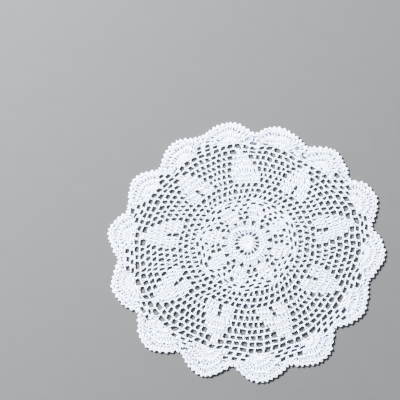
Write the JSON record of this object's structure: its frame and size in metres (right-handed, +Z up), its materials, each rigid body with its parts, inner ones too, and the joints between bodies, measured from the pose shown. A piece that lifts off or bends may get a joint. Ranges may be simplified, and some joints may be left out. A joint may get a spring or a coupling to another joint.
{
  "type": "cotton placemat",
  "caption": "Round crocheted cotton placemat with petals, leaves, open net and a scalloped border, lying flat.",
  "frame": {"origin": "middle of the rosette, on the underside that lies on the table", "axes": "+Z up through the mat's thickness, +X and +Y in the mat's plane, +X to the right and +Y to the top of the view from above"},
  "size_m": [0.3014, 0.2825, 0.0021],
  "materials": {
    "bleached_cotton": "matt bleached cotton yarn, crocheted, with visible stitches"
  },
  "bodies": {
    "root": {"crocheted_mat": "bleached_cotton"}
  },
  "joints": []
}
